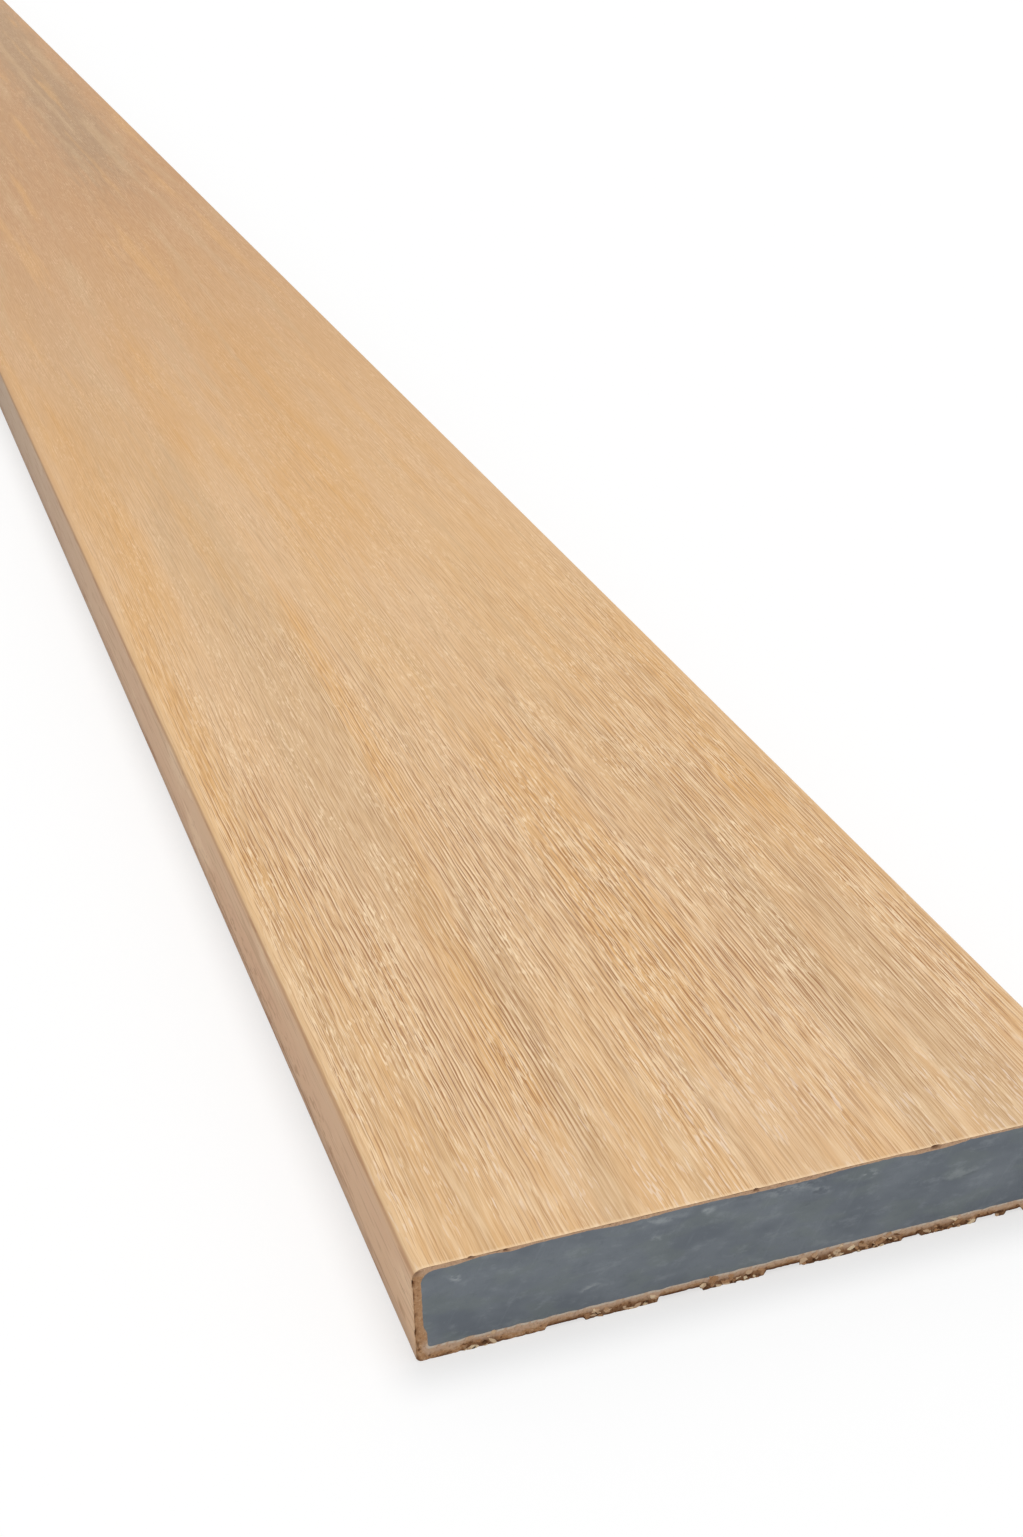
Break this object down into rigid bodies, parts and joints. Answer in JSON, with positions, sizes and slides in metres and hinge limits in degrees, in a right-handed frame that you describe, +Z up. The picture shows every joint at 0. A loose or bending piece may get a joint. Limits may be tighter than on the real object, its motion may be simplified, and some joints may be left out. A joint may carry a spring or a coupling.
{
  "type": "composite cladding board",
  "caption": "Flat composite cladding board with square long edges: a solid grey core inside a tan wood-grain capping, sawn across at both ends.",
  "frame": {"origin": "centre of the back face, which the board lies on", "axes": "+X along the board towards the sawn end with the torn lower edge, +Y across the board, +Z up through the board towards the grained face"},
  "size_m": [2.2, 0.138, 0.02],
  "materials": {
    "core": "sawn, dry grey wood-plastic composite",
    "capping": "matt golden tan with embossed wood grain on the face"
  },
  "bodies": {
    "root": {"core": "core", "capping": "capping"}
  },
  "joints": []
}
